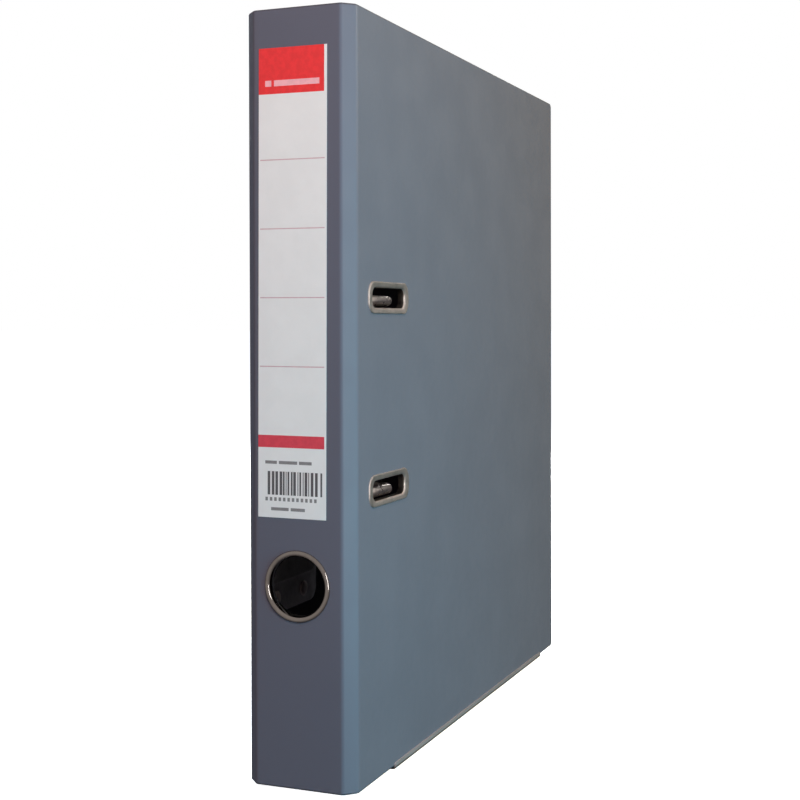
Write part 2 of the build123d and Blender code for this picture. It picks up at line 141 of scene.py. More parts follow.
def rounded_path(corners, radii, steps=6):
    """A path through the corners, in 2-D or 3-D, with an arc of its own radius at each inner corner."""
    corners = [np.array(corner, float) for corner in corners]
    path = [corners[0]]
    for before, corner, after, radius in zip(corners, corners[1:], corners[2:], radii):
        start, end = unit(before - corner), unit(after - corner)
        half = math.acos(np.clip(start @ end, -1, 1)) / 2
        reach = radius / math.tan(half)
        middle = corner + unit(start + end) * radius / math.sin(half)
        first, last = corner + start * reach - middle, corner + end * reach - middle
        sweep = math.pi - 2 * half
        for step in range(steps + 1):
            share = step / steps
            weights = math.sin((1 - share) * sweep), math.sin(share * sweep)
            path.append(middle + (first * weights[0] + last * weights[1]) / math.sin(sweep))
    path.append(corners[-1])
    return path


def rounded_rectangle(width, height, radius, middle=(0, 0), steps=8):
    """A closed outline of a rectangle with round corners, anticlockwise from its lower right arc."""
    points = []
    for turn, (right, up) in enumerate(((1, -1), (1, 1), (-1, 1), (-1, -1))):
        across = middle[0] + right * (width / 2 - radius)
        along = middle[1] + up * (height / 2 - radius)
        for step in range(steps + 1):
            angle = math.pi / 2 * (turn - 1 + step / steps)
            points.append((across + radius * math.cos(angle), along + radius * math.sin(angle)))
    return points


def circle(radius, middle=(0, 0), steps=64):
    """A closed circle."""
    angles = [2 * math.pi * step / steps for step in range(steps)]
    return [(middle[0] + radius * math.cos(a), middle[1] + radius * math.sin(a)) for a in angles]


def divided(points, spacing):
    """An open path with extra points, so that none are further apart than the spacing."""
    result = []
    for start, end in zip(points, points[1:]):
        start, end = np.array(start, float), np.array(end, float)
        count = max(1, math.ceil(np.linalg.norm(end - start) / spacing))
        result += [tuple(start + (end - start) * step / count) for step in range(count)]
    return result + [tuple(points[-1])]


def parallel(path, distance):
    """A flat path moved to its right by a distance."""
    path = np.array(path, float)
    steps = np.diff(path, axis=0)
    steps /= np.linalg.norm(steps, axis=1)[:, None]
    normals = np.stack([steps[:, 1], -steps[:, 0]], axis=1)
    before = np.vstack([normals[:1], normals])
    after = np.vstack([normals, normals[-1:]])
    return path + (before + after) * (distance / (1 + (before * after).sum(axis=1)))[:, None]


def within(points, loop):
    """Which points lie inside a closed loop."""
    points = np.array(points, float)
    found = np.zeros(len(points), bool)
    for (x0, y0), (x1, y1) in zip(loop, loop[1:] + loop[:1]):
        if y0 != y1:
            crossed = (points[:, 1] < y0) != (points[:, 1] < y1)
            found ^= crossed & (points[:, 0] < x0 + (points[:, 1] - y0) * (x1 - x0) / (y1 - y0))
    return found


def clearance(points, loops):
    """How far each point is from the nearest point of the loops."""
    edge = np.array([point for loop in loops for point in loop])
    return np.array([np.min(np.linalg.norm(edge - np.array(point), axis=1)) for point in points])


def filled(loops, spacing=None):
    """Points and triangles over a flat region with holes. The loops' own points come first, in order."""
    points = [tuple(point) for loop in loops for point in loop]
    edges, start = [], 0
    for loop in loops:
        edges += [(start + i, start + (i + 1) % len(loop)) for i in range(len(loop))]
        start += len(loop)
    if spacing:
        low, high = np.min(loops[0], axis=0), np.max(loops[0], axis=0)
        columns = np.arange(low[0] + spacing / 2, high[0], spacing)
        rows = np.arange(low[1] + spacing / 2, high[1], spacing)
        grid = [(x, y) for y in rows for x in columns]
        keep = within(grid, loops[0]) & (clearance(grid, loops) > spacing * 0.45)
        for hole in loops[1:]:
            keep &= ~within(grid, hole)
        points += [point for point, kept in zip(grid, keep) if kept]
    made = delaunay_2d_cdt([Vector(point) for point in points], edges, [], 0, 1e-8)
    origin = [found[0] for found in made[3]]
    triangles = [[origin[i] for i in triangle] for triangle in made[2]]
    middles = [np.mean([points[i] for i in triangle], axis=0) for triangle in triangles]
    keep = within(middles, loops[0])
    for hole in loops[1:]:
        keep &= ~within(middles, hole)
    return points, [triangle for triangle, kept in zip(triangles, keep) if kept]


def bridge(first, second, count, closed):
    """Quads between two rows of vertices that start at these indices."""
    last = count if closed else count - 1
    return [
        (first + i, first + (i + 1) % count, second + (i + 1) % count, second + i) for i in range(last)
    ]


class Shape:
    """Vertices and faces of a mesh that is being built, in metres in the row frame."""

    def __init__(self):
        self.points = []
        self.faces = []
        self.paints = []

    def add(self, points, faces=(), paint=0):
        """Adds points, and faces that count from the first of them. Returns that first index."""
        start = len(self.points)
        self.points += [tuple(point) for point in points]
        self.face(faces, start, paint)
        return start

    def face(self, faces, start=0, paint=0):
        """Adds faces over points that are already there."""
        self.faces += [tuple(start + i for i in face) for face in faces]
        self.paints += [paint] * len(faces)

    def loft(self, rings, closed=True, caps=True, around=False, paints=None):
        """Quads between rings of equally many points, closed at both ends or joined end to end."""
        starts = [self.add(ring) for ring in rings]
        count = len(rings[0])
        for i, (first, second) in enumerate(zip(starts, starts[1:] + starts[:1] if around else starts[1:])):
            self.face(bridge(first, second, count, closed), paint=paints[i] if paints else 0)
        if caps and not around:
            self.face([tuple(range(starts[0], starts[0] + count))])
            self.face([tuple(range(starts[-1], starts[-1] + count))])
        return starts

    def pressed(self, rings, place, holes=(), closed=True, spacing=None, relief=None):
        """A surface through flat rings, each (outline, height), with the last one filled in."""
        starts = [self.add([place(a, b, height) for a, b in ring]) for ring, height in rings]
        count = len(rings[0][0])
        for first, second in zip(starts, starts[1:]):
            self.face(bridge(first, second, count, closed))
        rim, height = rings[-1]
        loops = [list(rim)]
        if not closed:
            loops = [self.with_seams(rim, spacing)]
        loops += [list(hole) for hole in holes]
        points, triangles = filled(loops, spacing)
        rises = relief(points, loops) if relief else np.zeros(len(points))
        known = {tuple(np.round(point, 9)): starts[-1] + i for i, point in enumerate(rim)}
        index = []
        for point, rise in zip(points, rises):
            key = tuple(np.round(point, 9))
            index.append(known[key] if key in known else self.add([place(*point, height - rise)]))
        self.face([tuple(index[i] for i in triangle) for triangle in triangles])

    @staticmethod
    def with_seams(rim, spacing):
        """An open rim closed by a straight seam, divided like the rest."""
        return list(rim) + divided([rim[-1], rim[0]], spacing)[1:-1]

    def revolve(self, section, origin, axis, across, steps=64):
        """Turns a closed section, (radius, distance along the axis), round an axis."""
        origin, axis, across = Vector(origin), Vector(axis), Vector(across)
        other = axis.cross(across)
        rings = []
        for step in range(steps):
            angle = 2 * math.pi * step / steps
            outward = across * math.cos(angle) + other * math.sin(angle)
            rings.append([origin + outward * radius + axis * along for radius, along in section])
        self.loft(rings, around=True)

    def tube(self, path, radii, steps=24):
        """A round wire along a path, with a radius for each of its points."""
        path = [Vector(point) for point in path]
        heading = (path[1] - path[0]).normalized()
        side = heading.orthogonal().normalized()
        rings = []
        for i, point in enumerate(path):
            ahead = path[min(i + 1, len(path) - 1)] - path[max(i - 1, 0)]
            turn = heading.rotation_difference(ahead.normalized())
            heading, side = ahead.normalized(), turn @ side
            other = heading.cross(side)
            angles = [2 * math.pi * step / steps for step in range(steps)]
            offsets = [side * math.cos(angle) + other * math.sin(angle) for angle in angles]
            rings.append([point + offset * radii[i] for offset in offsets])
        self.loft(rings)


def finished(name, shape, materials, thickness=0.0, sharp=32):
    """An object made of the shape, thickened if it is a sheet, with smooth faces and crisp edges."""
    mesh = bpy.data.meshes.new(name)
    mesh.from_pydata(shape.points, [], shape.faces)
    for material in materials:
        mesh.materials.append(material)
    mesh.polygons.foreach_set("material_index", shape.paints)
    model = bmesh.new()
    model.from_mesh(mesh)
    bmesh.ops.remove_doubles(model, verts=model.verts, dist=1e-7)
    bmesh.ops.recalc_face_normals(model, faces=model.faces)
    model.to_mesh(mesh)
    model.free()
    piece = bpy.data.objects.new(name, mesh)
    bpy.context.scene.collection.objects.link(piece)
    if thickness:
        solidify = piece.modifiers.new("thickness", "SOLIDIFY")
        solidify.thickness = thickness
        solidify.offset = -1
        solidify.use_even_offset = True
        bpy.context.view_layer.update()
        solid = bpy.data.meshes.new_from_object(piece.evaluated_get(bpy.context.evaluated_depsgraph_get()))
        piece.modifiers.clear()
        piece.data = solid
        solid.name = name
        bpy.data.meshes.remove(mesh)
        mesh = solid
    mesh.polygons.foreach_set("use_smooth", [True] * len(mesh.polygons))
    mesh.set_sharp_from_angle(angle=math.radians(sharp))
    return piece


def arc_steps(radius, low, high, steps=5):
    """(sideways, deep) pairs along a quarter round, between two angles in degrees."""
    angles = [math.radians(low + (high - low) * step / steps) for step in range(steps + 1)]
    return [(radius * (1 - math.sin(a)), radius * (1 - math.cos(a))) for a in angles]


# Materials ----------------------------------------------------------------------------------------


class Finish:
    """A Principled material whose colour, roughness and relief come from procedural nodes."""

    def __init__(self, name, **sockets):
        self.material = bpy.data.materials.new(name)
        self.material.use_nodes = True
        self.tree = self.material.node_tree
        self.shader = self.tree.nodes["Principled BSDF"]
        self.coordinates = self.tree.nodes.new("ShaderNodeTexCoord").outputs["Object"]
        self.relief = None
        for socket, value in sockets.items():
            self.shader.inputs[socket.replace("_", " ")].default_value = value

    def put(self, value, socket):
        """Links an output to a socket, or sets a plain value on it."""
        if isinstance(value, bpy.types.NodeSocket):
            self.tree.links.new(value, socket)
        else:
            socket.default_value = value

    def stretched(self, scale):
        """Object coordinates scaled along each axis."""
        mapping = self.tree.nodes.new("ShaderNodeMapping")
        self.put(self.coordinates, mapping.inputs["Vector"])
        mapping.inputs["Scale"].default_value = scale
        return mapping.outputs["Vector"]

    def noise(self, size, detail=3.0, roughness=0.55, stretch=(1, 1, 1)):
        """Cloudy noise whose features are this many millimetres across."""
        node = self.tree.nodes.new("ShaderNodeTexNoise")
        self.put(self.stretched(stretch), node.inputs["Vector"])
        node.inputs["Scale"].default_value = 1000 / size
        node.inputs["Detail"].default_value = detail
        node.inputs["Roughness"].default_value = roughness
        return node.outputs["Fac"]

    def cells(self, size, stretch=(1, 1, 1)):
        """The distance to the middle of the nearest of many cells, this many millimetres across."""
        node = self.tree.nodes.new("ShaderNodeTexVoronoi")
        self.put(self.stretched(stretch), node.inputs["Vector"])
        node.inputs["Scale"].default_value = 1000 / size
        return node.outputs["Distance"]

    def axis(self, name):
        """One of the object's coordinates, in metres."""
        node = self.tree.nodes.new("ShaderNodeSeparateXYZ")
        self.put(self.coordinates, node.inputs["Vector"])
        return node.outputs[name]

    def math(self, operation, first, second=0.0):
        """One step of arithmetic."""
        node = self.tree.nodes.new("ShaderNodeMath")
        node.operation = operation
        self.put(first, node.inputs[0])
        self.put(second, node.inputs[1])
        return node.outputs["Value"]

    def ranged(self, value, low, high, to_low=0.0, to_high=1.0):
        """A value moved smoothly from one range to another."""
        node = self.tree.nodes.new("ShaderNodeMapRange")
        node.interpolation_type = "SMOOTHSTEP"
        self.put(value, node.inputs["Value"])
        for socket, number in zip(("From Min", "From Max", "To Min", "To Max"), (low, high, to_low, to_high)):
            node.inputs[socket].default_value = number
        return node.outputs["Result"]

    def mixed(self, factor, first, second):
        """A colour between two others."""
        node = self.tree.nodes.new("ShaderNodeMix")
        node.data_type = "RGBA"
        self.put(factor, node.inputs["Factor"])
        self.put(first, node.inputs[6])
        self.put(second, node.inputs[7])
        return node.outputs[2]

    def bump(self, height, depth, strength=1.0):
        """Adds relief, this many millimetres deep, on top of what is there."""
        node = self.tree.nodes.new("ShaderNodeBump")
        node.inputs["Strength"].default_value = strength
        node.inputs["Distance"].default_value = depth * MM
        self.put(height, node.inputs["Height"])
        if self.relief:
            self.put(self.relief, node.inputs["Normal"])
        self.relief = node.outputs["Normal"]

    def done(self, colour, roughness):
        """Joins colour, roughness and relief to the shader."""
        self.put(colour, self.shader.inputs["Base Color"])
        self.put(roughness, self.shader.inputs["Roughness"])
        if self.relief:
            self.put(self.relief, self.shader.inputs["Normal"])
        return self.material


def rgb(red, green, blue):
    """A screen colour, 0 to 255, as the linear colour that a shader takes."""
    values = [channel / 255 for channel in (red, green, blue)]
    linear = [v / 12.92 if v <= 0.04045 else ((v + 0.055) / 1.055) ** 2.4 for v in values]
    return (*linear, 1.0)


def scaled(colour, factor):
    """A colour made lighter or darker."""
    return (*[channel * factor for channel in colour[:3]], 1.0)


def foil_finish():
    """Satin plastic foil: a fine grain and faint clouds, a little rubbed lighter along the free edges, and painted
    shade in a dark band along them.
    """
    finish = Finish("case_foil", Specular_IOR_Level=0.42, IOR=1.46)
    base = (0.113, 0.108, 0.143, 1.0)
    clouds = finish.ranged(finish.noise(90, 3), 0.3, 0.7)
    colour = finish.mixed(clouds, scaled(base, 0.98), scaled(base, 1.02))
    height = finish.axis("Z")
    low = finish.ranged(height, case_bottom, case_bottom + 2.2 * MM, 1, 0)
    high = finish.ranged(height, case_top - 2.2 * MM, case_top, 0, 1)
    fore = finish.ranged(finish.axis("X"), fore_x - 1.6 * MM, fore_x, 0, 1)
    rim = finish.math("MAXIMUM", finish.math("MAXIMUM", low, high), fore)
    # Painted shade: a dark band just inside the top, bottom and fore-edge, where the foil turns over the board's
    # edge.
    shade_low = finish.ranged(height, case_bottom + 0.35 * MM, case_bottom + 1.15 * MM, 1, 0)
    shade_high = finish.ranged(height, case_top - 1.0 * MM, case_top - 0.3 * MM, 0, 1)
    shade_fore = finish.ranged(finish.axis("X"), fore_x - 1.9 * MM, fore_x - 0.9 * MM, 0, 1)
    edge_shade = finish.math("MAXIMUM", finish.math("MAXIMUM", shade_low, shade_high), shade_fore)
    rubbed = finish.math("MULTIPLY", rim, finish.ranged(finish.noise(3.5, 5, 0.7), 0.48, 0.72))
    colour = finish.mixed(finish.math("MULTIPLY", rubbed, 0.35), colour, scaled(base, 1.7))
    # The painted shade darkens the foil towards 0.12 of its colour within that band.
    colour = finish.mixed(finish.math("MULTIPLY", edge_shade, 0.6), colour, scaled(base, 0.12))
    handled = finish.ranged(finish.noise(24, 5, 0.6), 0.35, 0.7, 0.40, 0.52)
    finish.bump(finish.noise(60, 1), 0.12, 0.3)
    finish.bump(finish.cells(0.55), 0.018, 0.5)
    finish.bump(finish.noise(0.22, 2), 0.008, 0.4)
    return finish.done(colour, handled)


def board_finish():
    """Grey recycled board with darker flecks."""
    finish = Finish("greyboard", Specular_IOR_Level=0.2)
    base = rgb(150, 142, 130)
    flecks = finish.ranged(finish.noise(0.9, 5, 0.7), 0.58, 0.7)
    colour = finish.mixed(flecks, base, scaled(base, 0.6))
    finish.bump(finish.noise(0.3, 3), 0.05, 0.5)
    return finish.done(colour, finish.ranged(finish.noise(5), 0.3, 0.7, 0.85, 0.95))


def lining_finish():
    """Matt charcoal paper with short fibres."""
    finish = Finish("lining_paper", Specular_IOR_Level=0.25)
    base = rgb(39, 36, 41)
    fibres = finish.ranged(finish.noise(0.7, 4, 0.7, stretch=(1, 1, 0.25)), 0.5, 0.75)
    colour = finish.mixed(fibres, base, scaled(base, 1.7))
    finish.bump(finish.noise(0.25, 3), 0.02, 0.5)
    finish.bump(finish.noise(40, 2), 0.1, 0.3)
    return finish.done(colour, finish.ranged(finish.noise(12), 0.3, 0.7, 0.78, 0.9))


def ink_finish(name, colour, shade=0.9, size=2.5):
    """Printed or bare label paper: faint mottle, and a tooth too fine to see from afar."""
    finish = Finish(name, Specular_IOR_Level=0.35)
    mottle = finish.ranged(finish.noise(size, 4, 0.6), 0.35, 0.65)
    paint = finish.mixed(mottle, scaled(colour, shade), colour)
    finish.bump(finish.noise(0.18, 3), 0.006, 0.5)
    return finish.done(paint, finish.ranged(finish.noise(9), 0.3, 0.7, 0.48, 0.6))


def metal_finish(name, colour, low, high, size=6.0, stretch=(1, 1, 1), metallic=1.0):
    """Plated metal: cloudy polish, fine scratches and a few duller spots; less metallic when satin."""
    finish = Finish(name, Metallic=metallic)
    tarnish = finish.ranged(finish.noise(size, 5, 0.65), 0.42, 0.72)
    paint = finish.mixed(tarnish, colour, scaled(colour, 0.8))
    scratches = finish.noise(0.25, 3, 0.6, stretch)
    finish.bump(scratches, 0.0015, 0.35)
    worn = finish.ranged(finish.noise(size / 3, 4, 0.6, stretch), 0.3, 0.7, low, high)
    return finish.done(paint, worn)


def guard_finish():
    """Satin steel with worn tones, and painted shade darkening it along the edge that the file stands on."""
    finish = Finish("guard_steel", Metallic=0.75)
    # Painted shade: below about 1.0 to 1.7 mm over the floor the colour goes to a dark brown-grey.
    above_painted_shade = finish.ranged(finish.axis("Z"), 1.0 * MM, 1.7 * MM)
    wear = finish.ranged(finish.noise(9, 5, 0.65, (0.06, 1, 1)), 0.42, 0.72)
    bright = finish.mixed(wear, (0.72, 0.61, 0.63, 1), (0.60, 0.51, 0.53, 1))
    paint = finish.mixed(above_painted_shade, (0.20, 0.17, 0.17, 1), bright)
    finish.bump(finish.noise(0.25, 3, 0.6, (0.06, 1, 1)), 0.0015, 0.35)
    return finish.done(paint, finish.ranged(finish.noise(3, 4, 0.6, (0.06, 1, 1)), 0.3, 0.7, 0.36, 0.46))


FOIL = foil_finish()
BOARD = board_finish()
LINING = lining_finish()
PAPER = ink_finish("label_paper", rgb(232, 224, 225), 0.97, 12)
RED_INK = ink_finish("red_ink", rgb(236, 60, 62))
DARK_RED_INK = ink_finish("stripe_ink", rgb(218, 72, 86))
LINE_INK = ink_finish("line_ink", rgb(208, 166, 174))
GREY_INK = ink_finish("grey_ink", rgb(138, 130, 132))
BLACK_INK = ink_finish("black_ink", rgb(96, 88, 92))
PALE_INK = ink_finish("pale_ink", rgb(246, 176, 184))
NICKEL = metal_finish("nickel", (0.80, 0.69, 0.64, 1), 0.34, 0.44, metallic=0.92)
# Painted shade: a near-black nickel for the inner walls of the slots' collars.
SHADED_NICKEL = metal_finish("nickel_painted_shade", (0.10, 0.09, 0.08, 1), 0.4, 0.5)
RING = metal_finish("ring_nickel", (0.34, 0.31, 0.295, 1), 0.11, 0.17)
GUARD = guard_finish()
PLATED = metal_finish("plated_steel", (0.52, 0.49, 0.47, 1), 0.30, 0.42, 8)
WIRE = metal_finish("wire_plating", (0.86, 0.77, 0.70, 1), 0.26, 0.36, 8)
SPRING = metal_finish("spring_steel", (0.42, 0.43, 0.46, 1), 0.26, 0.38, 8, (1, 1, 0.08))


# Case ---------------------------------------------------------------------------------------------


def skin_section(depth):
    """(distance in from the free edge, depth) pairs from the turned-in edge round to the outer face."""
    under = [(turn_in, depth), (turn_in / 2, depth)]
    under += [(aside, depth - down) for aside, down in arc_steps(edge_radius, 0, 90)]
    over = [(aside, down) for aside, down in arc_steps(edge_radius, 90, 0)]
    return under + over + [(edge_radius + 0.4 * MM, 0.0)]


def waves(seed):
    """A faint unevenness of the boards under the foil, which dies away at edges, holes and metal."""

    def relief(points, loops):
        fade = np.clip(clearance(points, loops) / wave_fade, 0, 1)
        rises = [noise.noise(Vector((x / wave_length, y / wave_length, seed))) for x, y in points]
        return wave_height * fade * fade * (1 + np.array(rises)) / 2

    return relief


def cover_rim(inset):
    """A cover's free edge held back by the inset: bottom, fore-edge and top, as (x, z) points."""
    low, high, right = case_bottom + inset, case_top - inset, fore_x - inset
    radius = max(fore_corner - inset, 0.4 * MM)
    start = cover_x + board_setback
    corners = [(start, low), (right, low), (right, high), (start, high)]
    path = rounded_path(corners, (radius, radius), 7)
    runs = (path[:2], path[1:9], path[8:10], path[9:17], path[16:])
    counts = (34, 0, 38, 0, 34)
    result = []
    for run, count in zip(runs, counts):
        if count:
            first, last = run
            result += [tuple(first + (last - first) * step / count) for step in range(count)]
        else:
            result += [tuple(point) for point in run[:-1]]
    return result + [tuple(path[-1])]


def make_cover_skin(name):
    """The foil of one cover, wrapped round its three free edges and turned in."""
    side = SIDES[name]
    holes = []
    if side == FRONT:
        grow = 2 * eyelet_collar
        for node in ("lower_slot_eyelet", "upper_slot_eyelet"):
            middle = centre(node)
            outline = (slot_length + grow, slot_height + grow, slot_corner + eyelet_collar)
            holes.append(rounded_rectangle(*outline, (middle.x, middle.z)))
    shape = Shape()
    shape.pressed(
        [(cover_rim(inset), depth) for inset, depth in skin_section(wall)],
        lambda x, z, depth: (x, side * (cover_y - depth), z),
        holes,
        closed=False,
        spacing=face_spacing,
        relief=waves(1.7 * side),
    )
    piece = finished(f"{name}_cover_skin", shape, [FOIL], foil)
    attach(piece, f"{name}_cover")
    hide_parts(f"{name}_cover_foil")


def make_spine_skin():
    """The foil of the spine, turned in at the top and the bottom, with the hole for the finger ring."""
    ring = centre("finger_ring")
    hole = circle(ring_collar, (ring.y, ring.z), 72)
    reach = spine_half - board_setback
    columns = 10
    shape = Shape()
    rows = skin_section(wall)

    def place(y, z, depth):
        return (spine_x + depth, y, z)

    levels = []
    for end, inward in ((case_bottom, 1), (case_top, -1)):
        rings = []
        for inset, depth in rows:
            row = [(reach * (2 * step / columns - 1), end + inward * inset) for step in range(columns + 1)]
            rings.append((row, depth))
        levels.append(rings[-1][0])
        starts = [shape.add([place(y, z, depth) for y, z in row]) for row, depth in rings]
        for first, second in zip(starts, starts[1:]):
            shape.face(bridge(first, second, columns + 1, False))
    bottom, top = levels
    right = divided([bottom[-1], top[-1]], face_spacing)
    left = divided([top[0], bottom[0]], face_spacing)
    loop = list(bottom) + right[1:-1] + list(reversed(top)) + left[1:-1]
    points, triangles = filled([loop, hole], face_spacing)
    shape.add([place(y, z, 0.0) for y, z in points], triangles)
    piece = finished("spine_skin", shape, [FOIL], foil)
    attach(piece, "spine")
    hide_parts("spine_foil")


def sheet_along(path, thickness, levels, curls):
    """A bent sheet: a path in (x, distance from the middle plane), carried up through the levels."""
    rings = []
    for level, curl in zip(levels, curls):
        outer = parallel(path, curl)
        inner = parallel(path, curl + thickness)
        rings.append([(*point, level) for point in outer] + [(*point, level) for point in inner[::-1]])
    return rings


def crease_corners(depth):
    """The two fold lines seen from above, on the surface this deep in the foil."""
    spine_out, cover_out = np.array([-1.0, 0.0]), np.array([0.0, 1.0])
    strip_out = unit(spine_out + cover_out)
    corners = []
    for corner, first, second in (
        ((spine_x, spine_half), spine_out, strip_out),
        ((cover_x, cover_y), strip_out, cover_out),
    ):
        corners.append(np.array(corner) - (first + second) * depth / (1 + first @ second))
    return corners


def case_levels():
    """Heights up the case and, at each, how far the foil curls in towards the nearer end."""
    curled = arc_steps(edge_radius, 90, 0, 6)
    levels = [case_bottom + down for _, down in reversed(curled)]
    curls = [aside for aside, _ in reversed(curled)]
    pairs = sorted(zip(levels, curls))
    middle = np.linspace(case_bottom + 2 * edge_radius, case_top - 2 * edge_radius, 14)
    heights = [level for level, _ in pairs] + list(middle)
    heights += [case_bottom + case_top - level for level, _ in reversed(pairs)]
    return heights, [c for _, c in pairs] + [0.0] * 14 + [c for _, c in reversed(pairs)]


def make_crease(name, half):
    """Foil and lining over one crease: from the spine, or from the cover, to the middle of the strip."""
    side = SIDES[name]
    from_spine = half == "spine"
    start = np.array([spine_x, spine_half - board_setback])
    end = np.array([cover_x + board_setback, cover_y])
    fold_a, fold_b = crease_corners(0.0)
    middle = (fold_a + fold_b) / 2
    outer = [start, fold_a, middle] if from_spine else [middle, fold_b, end]
    outer_path = rounded_path(outer, [crease_radius], 8)
    heights, curls = case_levels()
    foil_rings = sheet_along(outer_path, foil, heights, curls)

    under = foil + lining_clear
    deep_a, deep_b = crease_corners(under)
    deep_middle = (deep_a + deep_b) / 2
    floor_depth = wall + lining_clear
    step_in = board_setback - 2 * lining_clear
    if from_spine:
        lining = [
            (spine_x + floor_depth, spine_half - board_setback - lining_lap),
            (spine_x + floor_depth, spine_half - step_in),
            (spine_x + under, spine_half - step_in),
            deep_a,
            deep_middle,
        ]
        radii = (0.12 * MM, 0.35 * MM, crease_radius - under)
    else:
        lining = [
            deep_middle,
            deep_b,
            (cover_x + step_in, cover_y - under),
            (cover_x + step_in, cover_y - floor_depth),
            (cover_x + board_setback + lining_lap, cover_y - floor_depth),
        ]
        radii = (crease_radius - under, 0.35 * MM, 0.12 * MM)
    lining_path = rounded_path(lining, radii, 5)
    spread = np.linspace(case_bottom + lining_margin, case_top - lining_margin, 16)
    lining_rings = sheet_along(lining_path, lining_sheet, spread, [0.0] * 16)

    first, second = ("spine", f"{name}_strip") if from_spine else (f"{name}_strip", f"{name}_cover")
    if side == BACK:
        first, second = second, first
    if from_spine:
        bounds = [Vector((spine_x, side * (spine_half + shift), 0)) for shift in (-blend_lead, blend_tail)]
    else:
        bounds = [Vector((cover_x + shift, side * cover_y, 0)) for shift in (-blend_tail, blend_lead)]
    if side == BACK:
        bounds.reverse()
    for kind, rings, material, node, slot in (
        ("foil", foil_rings, FOIL, "hinge_foil", "cover_foil"),
        ("lining", lining_rings, LINING, "hinge_lining", "lining_paper"),
    ):
        shape = Shape()
        shape.loft([[(x, side * y, z) for x, y, z in ring] for ring in rings])
        piece = finished(f"{name}_{half}_crease_{kind}", shape, [material])
        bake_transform(piece)
        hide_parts(f"{name}_{node}")


def make_case():
    """Every foil skin and crease of the case."""
    for name in SIDES:
        make_cover_skin(name)
        for half in ("spine", "cover"):
            make_crease(name, half)
    make_spine_skin()


# Label --------------------------------------------------------------------------------------------

label_width = 30.6 * MM
label_height = 191.0 * MM
label_thickness = 0.15 * MM
label_tilt = math.radians(0.33)


# The label's inks, in the order of its materials
BLANK, RED, STRIPE, LINE, GREY, BLACK, PALE = range(7)
bar_seed = 4


def bar_print(left, right, seed):
    """The bars of a made-up bar code, as (start, end) pairs between two places."""
    draw = np.random.default_rng(seed)
    bars, place = [], left
    while place < right - 2.2 * MM:
        width = draw.choice((0.4, 0.8, 1.2)) * MM
        bars.append((place, place + width))
        place += width + draw.choice((0.3, 0.45, 0.7)) * MM
    bars.append((right - 0.8 * MM, right))
    return bars


def label_prints():
    """Printed areas as (paint, left, right, low, high), from the label's middle, in metres."""
    half, top = label_width / 2, label_height / 2
    prints = [(RED, -half, 14.1 * MM, 76.8 * MM, top)]
    prints.append((STRIPE, -half, 14.5 * MM, -66.9 * MM, -61.9 * MM))
    for step in range(1, 5):
        level = (-61.9 + 28.0 * step) * MM
        prints.append((LINE, -half + 0.7 * MM, 14.4 * MM, level - 0.22 * MM, level + 0.22 * MM))
    for left, right in ((-12.4, -9.6), (-8.4, 12.0)):
        prints.append((PALE, left * MM, right * MM, 79.9 * MM, 82.3 * MM))
    for left, right in ((-12.1, -6.8), (-5.9, 2.4), (3.2, 8.9)):
        prints.append((GREY, left * MM, right * MM, -73.6 * MM, -72.3 * MM))
    for left, right in ((-9.4, -1.4), (-0.5, 5.9)):
        prints.append((GREY, left * MM, right * MM, -92.6 * MM, -91.3 * MM))
    for step in range(12):
        left = (-12.0 + 2.0 * step) * MM
        prints.append((GREY, left, left + 1.15 * MM, -88.7 * MM, -87.2 * MM))
    for left, right in bar_print(-11.0 * MM, 13.6 * MM, bar_seed):
        prints.append((BLACK, left, right, -86.2 * MM, -76.6 * MM))
    return prints


def make_label():
    """The paper label, with its printed areas as faces of their own ink."""
    middle = centre("spine_label")
    half, top = label_width / 2, label_height / 2
    prints = label_prints()
    columns = sorted({-half, half} | {edge for p in prints for edge in p[1:3]})
    rows = sorted({-top, top} | {edge for p in prints for edge in p[3:5]})

    def place(across, up, depth):
        y = middle.y - across * math.cos(label_tilt) - up * math.sin(label_tilt)
        z = middle.z - across * math.sin(label_tilt) + up * math.cos(label_tilt)
        return (spine_x - depth, y, z)

    def paint_at(across, up):
        found = BLANK
        for paint, left, right, low, high in prints:
            if left < across < right and low < up < high:
                found = paint
        return found

    shape = Shape()
    width = len(columns)
    face = shape.add([place(a, b, label_thickness) for b in rows for a in columns])
    back = shape.add([place(a, b, 0.0) for b in rows for a in columns])
    for j, (low, high) in enumerate(zip(rows, rows[1:])):
        for i, (left, right) in enumerate(zip(columns, columns[1:])):
            corner = j * width + i
            quad = (corner, corner + 1, corner + width + 1, corner + width)
            shape.face([quad], face, paint_at((left + right) / 2, (low + high) / 2))
            shape.face([quad[::-1]], back)
    border = [i for i in range(width)]
    border += [j * width + width - 1 for j in range(1, len(rows))]
    border += [(len(rows) - 1) * width + i for i in reversed(range(width - 1))]
    border += [j * width for j in reversed(range(1, len(rows) - 1))]
    for first, second in zip(border, border[1:] + border[:1]):
        shape.face([(face + first, face + second, back + second, back + first)])
    inks = [PAPER, RED_INK, DARK_RED_INK, LINE_INK, GREY_INK, BLACK_INK, PALE_INK]
    piece = finished("spine_label_print", shape, inks)
    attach(piece, "spine")
    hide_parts("spine_label")


# Metal on the case --------------------------------------------------------------------------------


